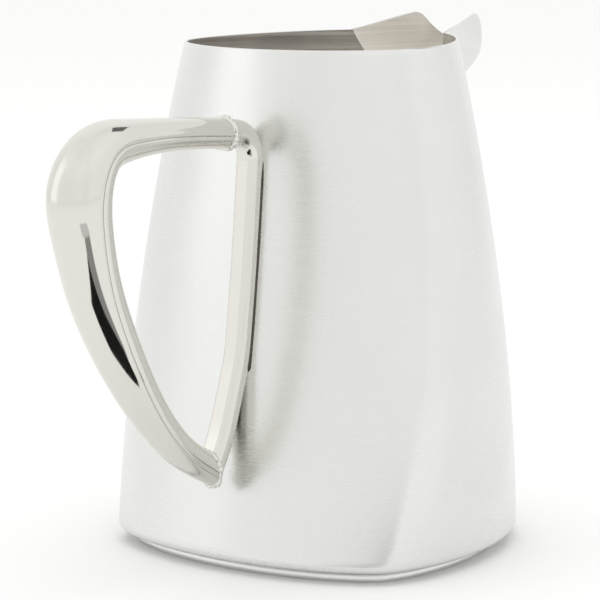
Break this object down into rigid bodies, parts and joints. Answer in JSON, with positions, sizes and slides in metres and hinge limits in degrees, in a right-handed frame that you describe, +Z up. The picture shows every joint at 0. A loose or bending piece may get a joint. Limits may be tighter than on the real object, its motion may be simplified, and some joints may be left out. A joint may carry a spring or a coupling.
{
  "type": "water pitcher",
  "caption": "Stainless water pitcher: rounded-triangular body tapering to a near-round rim, beak spout with raised wings, polished loop handle.",
  "frame": {"origin": "centre of the base, on the plane that the pitcher stands on", "axes": "+Z up through the mouth, +X toward the spout, the handle is at -X, Y = 0 is the symmetry plane"},
  "size_m": [0.2367, 0.1391, 0.1874],
  "materials": {
    "satin_wall": "satin",
    "polished_handle": "mirror polished",
    "weld_metal": "weld bead, partly ground"
  },
  "bodies": {
    "root": {"body_shell": "satin_wall", "spout": "satin_wall", "base_pan": "satin_wall", "foot_ring": "satin_wall", "foot_seam_weld": "weld_metal", "spout_seam_weld": "weld_metal", "upper_joint_weld": "weld_metal", "lower_joint_weld": "weld_metal", "bar_to_body_weld": "weld_metal", "grip_outer_shell": "polished_handle", "grip_inner_shell": "polished_handle", "handle_mount_bar": "polished_handle"}
  },
  "joints": []
}
